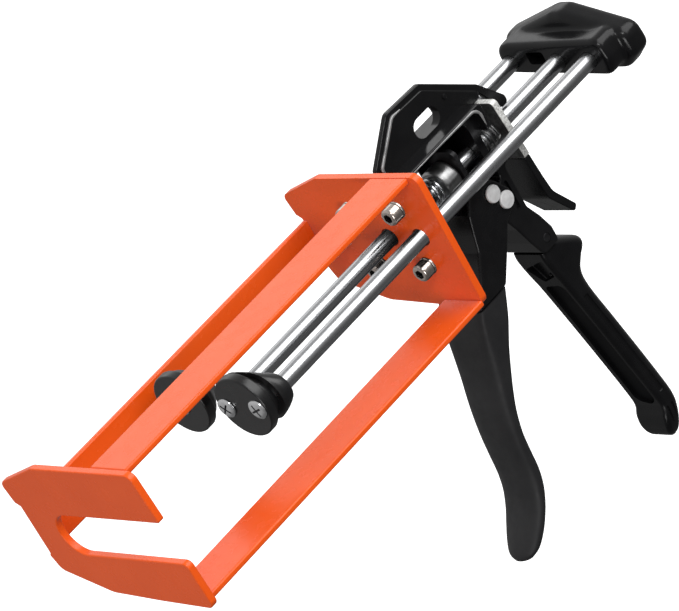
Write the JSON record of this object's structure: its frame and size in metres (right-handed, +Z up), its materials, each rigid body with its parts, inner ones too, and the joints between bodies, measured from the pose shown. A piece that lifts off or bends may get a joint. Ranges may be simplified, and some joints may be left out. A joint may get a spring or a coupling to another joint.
{
  "type": "caulking gun",
  "caption": "Hand-worked twin-cartridge caulking gun: open plate-and-rail bay, sliding push rods with disc pushers, trigger, thumb release and pull handle.",
  "frame": {"origin": "front face of the back plate, where the cartridge rests, midway between the two cartridge barrels and level with the push rods", "axes": "+X the way the rods push, towards the front plate; +Z up, the handles hang down; +Y towards the side the front slot opens to"},
  "size_m": [0.352, 0.0948, 0.2229],
  "materials": {
    "carriage": "smooth orange powder coat, semi-gloss",
    "fastener": "bright zinc plate",
    "casting": "gloss black powder coat on die casting",
    "handle_plastic": "gloss black moulding",
    "pusher_plastic": "gloss black moulding",
    "sleeve_plastic": "satin black moulding",
    "lever_metal": "satin black coat on pressed steel",
    "rod": "bright plated round bar",
    "dark_steel": "dark oiled steel",
    "zinc_plate": "galvanised, slightly mottled",
    "spring_steel": "bright spring wire"
  },
  "bodies": {
    "frame": {"front_plate": "carriage", "back_plate": "carriage", "top_rail": "carriage", "side_rail": "carriage", "bottom_rail": "carriage", "bolt_washer_1": "fastener", "bolt_washer_2": "fastener", "bolt_washer_3": "fastener", "bolt_washer_4": "fastener", "cap_bolt_1": "fastener", "cap_bolt_2": "fastener", "cap_bolt_3": "fastener", "cap_bolt_4": "fastener", "housing": "casting", "grip": "handle_plastic", "grip_pin": "dark_steel", "trigger_pivot_rivet": "fastener", "drive_spring": "spring_steel", "release_spring": "spring_steel"},
    "rod_carriage": {"left_rod": "rod", "drive_rod": "rod", "right_rod": "rod", "tail_handle": "handle_plastic", "tail_screw_1": "fastener", "tail_screw_2": "fastener", "tail_screw_3": "fastener", "left_pusher": "pusher_plastic", "right_pusher": "pusher_plastic", "left_pusher_screw": "fastener", "right_pusher_screw_1": "fastener", "right_pusher_screw_2": "fastener"},
    "trigger": {"trigger_lever": "lever_metal", "trigger_sleeve": "sleeve_plastic", "drive_pin_rivet": "fastener"},
    "drive": {"drive_plate": "dark_steel", "thrust_collar": "dark_steel"},
    "release": {"release_plate": "zinc_plate", "thumb_lever": "lever_metal"}
  },
  "joints": [
    {"name": "rod_slide", "type": "slide", "parent": "frame", "child": "rod_carriage", "axis": [1, 0, 0], "range_m": [-0.095, 0.036]},
    {"name": "trigger_pull", "type": "hinge", "parent": "frame", "child": "trigger", "pos_m": [-0.0546, 0.0102, -0.021], "axis": [0, 1, 0], "range_deg": [0, 24], "stiffness_Nm_per_rad": 2.5, "springref_deg": -8.59},
    {"name": "drive_slide", "type": "slide", "parent": "frame", "child": "drive", "axis": [1, 0, 0], "range_m": [0, 0.0028], "deforming": ["drive_spring"]},
    {"name": "release_lever", "type": "hinge", "parent": "frame", "child": "release", "pos_m": [-0.0793, 0.0102, 0.015], "axis": [0, -1, 0], "range_deg": [0, 4], "stiffness_Nm_per_rad": 2, "springref_deg": -5.73, "deforming": ["release_spring"]}
  ],
  "couplings": [
    {"joint": "drive_slide", "follows": "trigger_pull", "m_per_rad": 0.0065}
  ]
}
